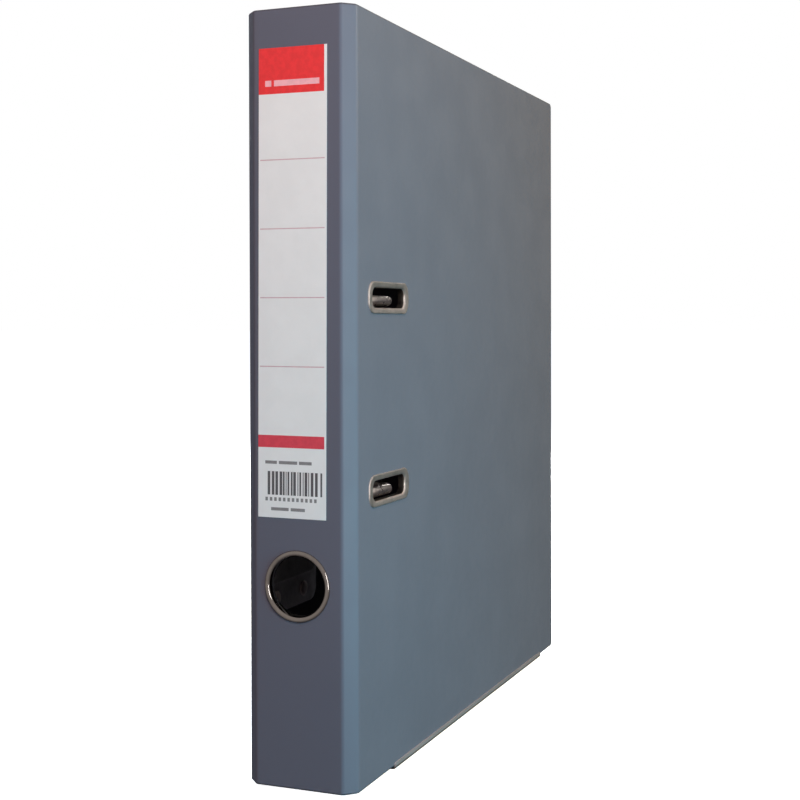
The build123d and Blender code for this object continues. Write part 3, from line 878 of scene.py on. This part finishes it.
def make_ring():
    """The finger ring: a rolled rim outside, a collar through the wall and a clinched edge inside."""
    middle = centre("finger_ring")
    inner_end = wall + washer
    lip = [(0.0, 1.1), (0.01, 0.5), (0.05, 0.05), (0.13, -0.35), (0.25, -0.66), (0.4, -0.85)]
    rim = [(0.55, -0.9), (0.7, -0.84), (0.83, -0.66), (0.93, -0.4), (0.99, -0.12)]
    across = ring_rim - ring_hole
    section = [(ring_hole + across * share, depth * MM) for share, depth in lip + rim]
    section += [
        (ring_rim, 0.0),
        (ring_collar, 0.0),
        (ring_collar, inner_end),
        (ring_clinch, inner_end),
        (ring_clinch, inner_end + clinch_metal * 0.6),
        (ring_clinch - 0.3 * MM, inner_end + clinch_metal),
        (ring_hole + 0.2 * MM, inner_end + clinch_metal),
        (ring_hole, inner_end + clinch_metal * 0.5),
    ]
    shape = Shape()
    shape.revolve(section, (spine_x, middle.y, middle.z), (1, 0, 0), (0, 1, 0), 96)
    piece = finished("finger_ring_rolled", shape, [RING], sharp=50)
    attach(piece, "spine")
    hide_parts("finger_ring")


def make_eyelet(node):
    """One closing slot's eyelet: a flat dished rim, a collar and an edge clinched over the lining."""
    low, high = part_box(node)
    middle = ((low.x + high.x) / 2, (low.z + high.z) / 2)
    inner = np.array(rounded_rectangle(slot_length, slot_height, slot_corner, middle, 10))
    outer = np.array(rounded_rectangle(high.x - low.x, high.z - low.z, eyelet_corner, middle, 10))

    def grown(distance):
        size = slot_length + 2 * distance, slot_height + 2 * distance, slot_corner + distance
        return np.array(rounded_rectangle(*size, middle, 10))

    inner_end = wall + clinch_metal
    lip = [(0.0, 1.2), (0.02, 0.6), (0.06, 0.15), (0.13, -0.18), (0.24, -0.38), (0.36, -0.46)]
    rim = [(0.6, -0.5), (0.76, -0.58), (0.87, -0.6), (0.95, -0.48), (0.99, -0.28), (1.0, 0.0)]
    section = [(inner, inner_end)]
    for share, depth in lip + rim:
        section.append((inner + (outer - inner) * share, depth * MM))
    section += [
        (grown(eyelet_collar), 0.0),
        (grown(eyelet_collar), wall),
        (grown(eyelet_collar + clinch), wall),
        (grown(eyelet_collar + clinch - 0.15 * MM), inner_end),
    ]
    shape = Shape()
    rings = [[(x, -(cover_y - depth), z) for x, z in outline] for outline, depth in section]
    # The collar's inner walls take the near-black nickel, as painted shade inside the slot.
    shaded_walls = [1 if depth > 0.1 * MM and i < 3 else 0 for i, (_, depth) in enumerate(section)]
    shape.loft(rings, around=True, paints=shaded_walls)
    piece = finished(f"{node}_pressed", shape, [NICKEL, SHADED_NICKEL], sharp=45)
    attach(piece, "front_cover")
    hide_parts(node)


def make_guard(name):
    """One edge guard: a folded steel channel with rounded ends, pressed over the cover's bottom edge."""
    side = SIDES[name]
    low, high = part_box(f"{name}_edge_guard")
    middle = abs(low.y + high.y) / 2
    reach = (high.y - low.y) / 2
    ends = arc_steps(guard_bend, 90, 0, 6)
    stations = [low.x + down for _, down in reversed(ends)]
    drops = [aside for aside, _ in reversed(ends)]
    pairs = sorted(zip(stations, drops))
    places = pairs + [(x, 0.0) for x in np.linspace(low.x + 4 * MM, high.x - 4 * MM, 24)]
    places += [(low.x + high.x - x, drop) for x, drop in reversed(pairs)]
    shape = Shape()
    rings = []
    for x, drop in places:
        top = high.z - drop
        corners = [(middle - reach, top), (middle - reach, 0), (middle + reach, 0), (middle + reach, top)]
        path = rounded_path(corners, (guard_bend, guard_bend), 6)
        outer = [tuple(point) for point in path]
        inner = [tuple(point) for point in parallel(path, -guard_metal)]
        rings.append([(x, side * y, z) for y, z in outer + inner[::-1]])
    shape.loft(rings)
    piece = finished(f"{name}_edge_guard_folded", shape, [GUARD], sharp=40)
    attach(piece, f"{name}_cover")
    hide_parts(f"{name}_edge_guard")


def make_case_metal():
    """Ring, eyelets and guards."""
    make_ring()
    for node in ("lower_slot_eyelet", "upper_slot_eyelet"):
        make_eyelet(node)
    for name in SIDES:
        make_guard(name)


# Mechanism ----------------------------------------------------------------------------------------


def inside(distance, height, along):
    """A point this far behind the spine's face, this high over the back lining, along Z from the middle."""
    return (spine_x + distance, lining_y - height, mechanism_z + along)


def over_lining(x, z, height):
    """A point at this x and z, this high over the back lining."""
    return (x, lining_y - height, z)


def dome(radius, rise, foot, base, steps=7):
    """A rivet in section, (radius, distance along its axis): a shank from its foot and a round head."""
    points = [(0.0, base), (foot, base), (foot, 0.0), (radius * 0.97, 0.0)]
    for step in range(steps + 1):
        angle = math.pi / 2 * step / steps
        points.append((radius * math.cos(angle), rise * (0.25 + 0.75 * math.sin(angle))))
    return points


def make_rivets():
    """The four rivets of the base plate, with broad heads outside and small ones on the plate."""
    low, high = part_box("plate_rivets")
    plate_metal = 1.0 * MM
    broad, small, shank = 3.8 * MM, 3.3 * MM, 1.7 * MM
    shape = Shape()
    for x in (low.x + broad, high.x - broad):
        for z in (low.z + broad, high.z - broad):
            middle = wall / 2
            outside = dome(broad, 0.6 * MM, shank, -middle)
            shape.revolve(outside, (x, cover_y, z), (0, 1, 0), (1, 0, 0), 40)
            within_plate = dome(small, 0.8 * MM, shank, -middle - plate_metal)
            shape.revolve(within_plate, (x, lining_y - plate_metal, z), (0, -1, 0), (1, 0, 0), 40)
    piece = finished("plate_rivets_domed", shape, [NICKEL], sharp=50)
    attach(piece, "back_cover")
    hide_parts("plate_rivets")


def make_arch():
    """The arch wire, bent in one piece, with a pointed tip over each post."""
    crank_low, crank_high, crank_throw = 2 * MM, 18 * MM, 8 * MM
    crank = arch_distance + crank_throw
    half = [
        inside(post_distance, post_height + tip_gap, post_reach),
        inside(post_distance, crown_height, post_reach),
        inside(arch_distance, crown_height, post_reach),
        inside(arch_distance, shaft_height, post_reach),
        inside(arch_distance, shaft_height, crank_high),
        inside(crank, shaft_height, crank_high),
    ]
    other = [
        inside(crank, shaft_height, crank_low),
        inside(arch_distance, shaft_height, crank_low),
        inside(arch_distance, shaft_height, -post_reach),
        inside(arch_distance, crown_height, -post_reach),
        inside(post_distance, crown_height, -post_reach),
        inside(post_distance, post_height + tip_gap, -post_reach),
    ]
    post_bend, crown_bend, foot_bend, crank_bend = 3.6 * MM, 9 * MM, 5 * MM, 3.2 * MM
    half_bends = [post_bend, crown_bend, foot_bend, crank_bend, crank_bend]
    bends = half_bends + half_bends[::-1]
    path = rounded_path(half + other, bends, 10)
    down = np.array([0.0, 1.0, 0.0])
    cone = [(0.35 * MM, wire_radius), (0.7 * MM, wire_radius * 0.82), (tip_depth, wire_radius * 0.45)]
    tips = [[path[end] + down * (step - 0.35 * MM) for step, _ in cone] for end in (0, -1)]
    radii = [radius for _, radius in reversed(cone)]
    radii += [wire_radius] * (len(path) - 2)
    radii += [radius for _, radius in cone]
    shape = Shape()
    shape.tube(tips[0][::-1] + path[1:-1] + tips[1], radii)
    piece = finished("arch_wire_bent", shape, [WIRE], sharp=40)
    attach(piece, "arch")
    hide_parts("arch_wire")


def make_post(node, along):
    """One fixed post: a flared foot on the plate and a mouth that takes the arch's tip."""
    foot = 3.6 * MM - 1.0 * MM
    section = [
        (0.0, foot),
        (4.5 * MM, foot),
        (4.5 * MM, foot + 0.7 * MM),
        (4.2 * MM, foot + 1.0 * MM),
        (3.1 * MM, foot + 1.1 * MM),
        (2.6 * MM, foot + 1.4 * MM),
        (post_radius, foot + 2.2 * MM),
        (post_radius, post_height - 0.3 * MM),
        (post_radius - 0.15 * MM, post_height),
        (post_radius - 0.35 * MM, post_height),
        (0.9 * MM, post_height - tip_depth),
        (0.0, post_height - tip_depth),
    ]
    shape = Shape()
    shape.revolve(section, inside(post_distance, 0.0, along), (0, -1, 0), (1, 0, 0), 40)
    piece = finished(f"{node}_turned", shape, [PLATED], sharp=40)
    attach(piece, "back_cover")
    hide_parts(node)


def slab(shape, outline, place, low, high, edge=0.15 * MM):
    """A flat plate of this outline between two depths, with softened edges."""
    middle = np.mean(outline, axis=0)
    outline = np.array(outline)
    spans = np.linalg.norm(outline - middle, axis=1)[:, None]
    inset = outline + (middle - outline) * (edge / spans)
    rings = [(inset, low), (outline, low + edge), (outline, high - edge), (inset, high)]
    shape.loft([[place(a, b, depth) for a, b in ring] for ring, depth in rings])


def make_base_plate():
    """The stamped base plate: a flange, a raised tray with pressed beads, and the lever's two ears."""
    low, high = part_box("base_plate")
    middle = ((low.x + high.x) / 2, (low.z + high.z) / 2)
    width, length, metal, rise = high.x - low.x, high.z - low.z, 1.0 * MM, 2.6 * MM
    tray_width, tray_length = 45 * MM, 160 * MM

    def ring(across, along, corner, height):
        return (rounded_rectangle(across, along, corner, middle, 8), height)

    rings = [
        ring(width, length, 6 * MM, 0.0),
        ring(width, length, 6 * MM, metal - 0.3 * MM),
        ring(width - 0.2 * MM, length - 0.2 * MM, 5.9 * MM, metal - 0.1 * MM),
        ring(width - 0.6 * MM, length - 0.6 * MM, 5.7 * MM, metal),
        ring(tray_width + 0.8 * MM, tray_length + 0.8 * MM, 5.4 * MM, metal),
        ring(tray_width - 0.1 * MM, tray_length - 0.1 * MM, 5.0 * MM, metal + 0.2 * MM),
        ring(tray_width - 0.9 * MM, tray_length - 0.9 * MM, 4.6 * MM, rise - 0.3 * MM),
        ring(tray_width - 1.3 * MM, tray_length - 1.3 * MM, 4.4 * MM, rise - 0.05 * MM),
        ring(tray_width - 2.0 * MM, tray_length - 2.0 * MM, 4.2 * MM, rise),
        ring(tray_width - 2.8 * MM, tray_length - 2.8 * MM, 4.0 * MM, rise),
    ]
    bead_half, bead_width, bead_rise = 13 * MM, 3.2 * MM, 0.6 * MM
    beads = [middle[1] + sign * step for sign in (-1, 1) for step in (60 * MM, 68 * MM)]

    def pressed_beads(points, loops):
        rises = []
        for x, z in points:
            off = min(abs(z - level) for level in beads) / (bead_width / 2)
            end = max(abs(x - middle[0]) - bead_half + bead_width / 2, 0) / (bead_width / 2)
            reach = math.hypot(off, end) if end > 0 else off
            rises.append(-bead_rise * max(0.0, 1 - reach * reach))
        return np.array(rises)

    shape = Shape()
    shape.pressed(rings, over_lining, spacing=1.6 * MM, relief=pressed_beads)
    shape.face([tuple(range(len(rings[0][0])))])
    pivot = Vector(folds["lever_lift"])
    ear_radius, ear_spacing = 4 * MM, 24 * MM
    for start in (low.x, low.x + ear_spacing):
        outline = [(lining_y - metal / 2, pivot.z - ear_radius)]
        for step in range(13):
            angle = math.pi * step / 12
            y = pivot.y - ear_radius * math.sin(angle)
            outline.append((y, pivot.z - ear_radius * math.cos(angle)))
        outline.append((lining_y - metal / 2, pivot.z + ear_radius))
        slab(shape, outline, lambda y, z, x: (x, y, z), start, start + metal)
    piece = finished("base_plate_stamped", shape, [PLATED], sharp=40)
    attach(piece, "back_cover")
    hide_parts("base_plate")


def lever_outline(inset):
    """The lever seen from the front cover, (x, z), with its edge held back by the inset."""
    low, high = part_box("lever")
    arm = low.x + 6.8 * MM
    cam_bottom = mechanism_z + 7.5 * MM
    corners = [
        (low.x, high.z - 8 * MM),
        (low.x, high.z),
        (high.x, high.z),
        (high.x, cam_bottom),
        (arm + 7 * MM, cam_bottom),
        (arm, cam_bottom - 6.8 * MM),
        (arm, low.z),
        (low.x, low.z),
        (low.x, high.z - 8 * MM),
    ]
    radii = (1.2 * MM, 1.2 * MM, 1.2 * MM, 2.5 * MM, 6 * MM, 3.2 * MM, 3.2 * MM)
    path = rounded_path(corners, radii, 6)
    return [tuple(point) for point in parallel(path, inset)[:-1]]


def make_lever():
    """The lever: a pressed channel with a long finger arm, ribbed at its tip, and a wide end."""
    low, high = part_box("lever")
    underside, top = lining_y - high.y, lining_y - low.y
    round_edge = 0.7 * MM
    rings = [(lever_outline(0.0), underside), (lever_outline(0.0), top - round_edge)]
    for aside, down in arc_steps(round_edge, 90, 0, 5):
        rings.append((lever_outline(aside), top - down))
    rings.append((lever_outline(round_edge + 0.3 * MM), top))

    def ribs(points, loops):
        rises = []
        for _, z in points:
            along = (z - low.z - 3 * MM) / (1.6 * MM)
            wave = 0.5 - 0.5 * math.cos(2 * math.pi * along) if 0 < along < 4 else 0.0
            rises.append(-0.3 * MM * wave)
        return np.array(rises)

    shape = Shape()
    shape.pressed(rings, over_lining, spacing=0.5 * MM, relief=ribs)
    piece = finished("lever_pressed", shape, [PLATED], 0.9 * MM, sharp=40)
    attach(piece, "lever")
    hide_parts("lever")


def make_compressor():
    """The compressor bar: a pressed bar with rolled edges and a hole for each post."""
    low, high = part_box("compressor_bar")
    middle = ((low.x + high.x) / 2, (low.z + high.z) / 2)
    width, length, corner = high.x - low.x, high.z - low.z, 4.5 * MM
    underside, top = lining_y - high.y, lining_y - low.y
    round_edge = 0.8 * MM
    section = [(0.0, underside), (0.0, top - round_edge)]
    section += [(aside, top - down) for aside, down in arc_steps(round_edge, 90, 0, 5)]
    section.append((round_edge + 0.5 * MM, top))
    rings = []
    for inset, height in section:
        outline = (width - 2 * inset, length - 2 * inset, corner - inset)
        rings.append((rounded_rectangle(*outline, middle, 8), height))
    holes = [circle(2.8 * MM, (middle[0], mechanism_z + sign * post_reach), 32) for sign in (-1, 1)]
    shape = Shape()
    shape.pressed(rings, over_lining, holes, spacing=4 * MM)
    piece = finished("compressor_bar_pressed", shape, [PLATED], 0.9 * MM, sharp=40)
    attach(piece, "compressor")
    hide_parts("compressor_bar")


def make_mechanism():
    """Everything on the back cover that holds the paper."""
    make_rivets()
    make_base_plate()
    make_arch()
    for node, sign in (("lower_post", -1), ("upper_post", 1)):
        make_post(node, sign * post_reach)
    make_lever()
    make_compressor()


# CAD nodes that keep their own shape --------------------------------------------------------------


def paint_cad_nodes():
    """Gives each CAD node that stays the finish of its slot."""
    finishes = {
        "cover_foil": FOIL,
        "greyboard": BOARD,
        "lining_paper": LINING,
        "label_paper": PAPER,
        "nickel": NICKEL,
        "guard_steel": GUARD,
        "plated_steel": PLATED,
        "spring_steel": SPRING,
    }
    slots = {part["node"]: part["material_slot"] for part in frame["record"]["subparts"]}
    for name, node in frame["nodes"].items():
        node.data.materials.clear()
        node.data.materials.append(finishes[slots[name]])


# Stage --------------------------------------------------------------------------------------------


def add_floor():
    """A broad, plain, pale floor."""
    finish = Finish("floor", Specular_IOR_Level=0.2)
    tone = finish.ranged(finish.noise(400, 3), 0.3, 0.7)
    colour = finish.mixed(tone, (0.90, 0.90, 0.90, 1), (0.93, 0.93, 0.93, 1))
    shape = Shape()
    reach = 30.0
    corners = [(-reach, -reach, 0), (reach, -reach, 0), (reach, reach, 0), (-reach, reach, 0)]
    shape.add(corners, [(0, 1, 2, 3)])
    finish.shader.inputs["Emission Color"].default_value = (1, 1, 1, 1)
    finish.shader.inputs["Emission Strength"].default_value = 0.95
    floor = finished("floor", shape, [finish.done(colour, 0.7)])
    floor.visible_diffuse = False
    floor.visible_glossy = False


def add_lamp(name, place, target, power, colour, width, height, rays="both"):
    """A soft oblong lamp aimed at a point, whose light can be for matt or for glossy reflection only."""
    data = bpy.data.lights.new(name, "AREA")
    data.shape = "RECTANGLE"
    data.size = width
    data.size_y = height
    data.energy = power
    data.color = colour
    lamp = bpy.data.objects.new(name, data)
    lamp.location = place
    lamp.rotation_euler = (Vector(target) - Vector(place)).to_track_quat("-Z", "Y").to_euler()
    lamp.visible_diffuse = rays != "glossy"
    lamp.visible_glossy = rays != "matt"
    bpy.context.scene.collection.objects.link(lamp)


def add_world():
    """A white backdrop with a dim, even light, which metal sees as bright high on the spine's side."""
    world = bpy.data.worlds.new("studio")
    world.use_nodes = True
    tree = world.node_tree
    path = tree.nodes.new("ShaderNodeLightPath")
    direction = tree.nodes.new("ShaderNodeTexCoord")
    slope = tree.nodes.new("ShaderNodeVectorMath")
    slope.operation = "DOT_PRODUCT"
    slope.inputs[1].default_value = (1, 0, -0.7)
    tree.links.new(direction.outputs["Generated"], slope.inputs[0])
    ramp = tree.nodes.new("ShaderNodeMapRange")
    ramp.inputs["From Min"].default_value = -0.9
    ramp.inputs["From Max"].default_value = 0.8
    tree.links.new(slope.outputs["Value"], ramp.inputs["Value"])
    mix = tree.nodes.new("ShaderNodeMix")
    mix.data_type = "RGBA"
    mix.inputs[6].default_value = (0.50, 0.46, 0.43, 1)
    mix.inputs[7].default_value = (0.035, 0.035, 0.04, 1)
    tree.links.new(ramp.outputs["Result"], mix.inputs["Factor"])
    shown = tree.nodes["Background"]
    shown.inputs["Color"].default_value = (0.09, 0.115, 0.16, 1)
    for ray, colour in (("Is Glossy Ray", mix.outputs[2]), ("Is Camera Ray", None)):
        other = tree.nodes.new("ShaderNodeBackground")
        if colour:
            tree.links.new(colour, other.inputs["Color"])
        else:
            other.inputs["Color"].default_value = (1, 1, 1, 1)
        choice = tree.nodes.new("ShaderNodeMixShader")
        tree.links.new(path.outputs[ray], choice.inputs["Fac"])
        tree.links.new(shown.outputs[0], choice.inputs[1])
        tree.links.new(other.outputs["Background"], choice.inputs[2])
        shown = choice
    tree.links.new(shown.outputs["Shader"], tree.nodes["World Output"].inputs["Surface"])
    bpy.context.scene.world = world


def add_lights():
    """Soft lamps on the spine and the front cover, their reflections, and two lamps for the other sides."""
    warm, gold, cool, white = (1.0, 0.81, 0.70), (1.0, 0.69, 0.24), (0.19, 0.80, 0.94), (1.0, 1.0, 1.0)
    add_lamp("spine_side", (-0.66, -0.36, 0.72), (-0.14, 0, 0.22), 7.1, warm, 0.35, 0.35, "matt")
    add_lamp("cover_side", (0.4, -0.9, 0.75), (0.1, 0, 0.18), 11.6, gold, 0.4, 0.4, "matt")
    add_lamp("low_fill", (-0.3, -0.7, 0.08), (-0.1, 0, 0.05), 8.3, cool, 0.4, 0.4, "matt")
    add_lamp("tall_gloss", (-0.72, -0.8, 0.2), (-0.14, 0, 0.15), 3.0, white, 0.14, 0.6, "glossy")
    add_lamp("high_gloss", (0.4, -0.9, 0.75), (0.1, 0, 0.18), 6.0, white, 0.4, 0.4, "glossy")
    add_lamp("behind", (0.6, 1.0, 0.8), (0, 0, 0.15), 30, (0.80, 0.97, 1.0), 0.6, 0.6, "matt")
    add_lamp("fore_edge_side", (1.4, 0.07, 0.3), (0.1, 0, 0.15), 24, white, 0.2, 0.2, "matt")
    add_lamp("fore_edge_gloss", (1.3, 0.4, 0.5), (0.1, 0, 0.15), 7, white, 0.4, 0.4, "glossy")


def add_camera():
    """The camera: above the middle of the case, in front of the spine and a little to its front side."""
    heading, dip, roll = (math.radians(angle) for angle in (21.916, 0.6945, -0.1421))
    forward = Vector((math.cos(dip) * math.cos(heading), math.cos(dip) * math.sin(heading), -math.sin(dip)))
    right = Vector((math.sin(heading), -math.cos(heading), 0))
    up = right.cross(forward)
    level = right * math.cos(roll) + up * math.sin(roll)
    upright = up * math.cos(roll) - right * math.sin(roll)
    data = bpy.data.cameras.new("camera")
    data.sensor_width = 36
    data.lens = 63.18
    data.shift_x = -0.0071
    data.shift_y = -0.075
    data.clip_start = 0.01
    data.clip_end = 200
    camera = bpy.data.objects.new("camera", data)
    turn = Matrix((level, upright, -forward)).transposed().to_4x4()
    camera.matrix_world = Matrix.Translation((-0.65275, -0.25257, 0.19092)) @ turn
    bpy.context.scene.collection.objects.link(camera)
    bpy.context.scene.camera = camera


bpy.context.scene.view_settings.view_transform = "Standard"
paint_cad_nodes()
make_case()
make_label()
make_case_metal()
make_mechanism()
add_floor()
add_world()
add_lights()
add_camera()
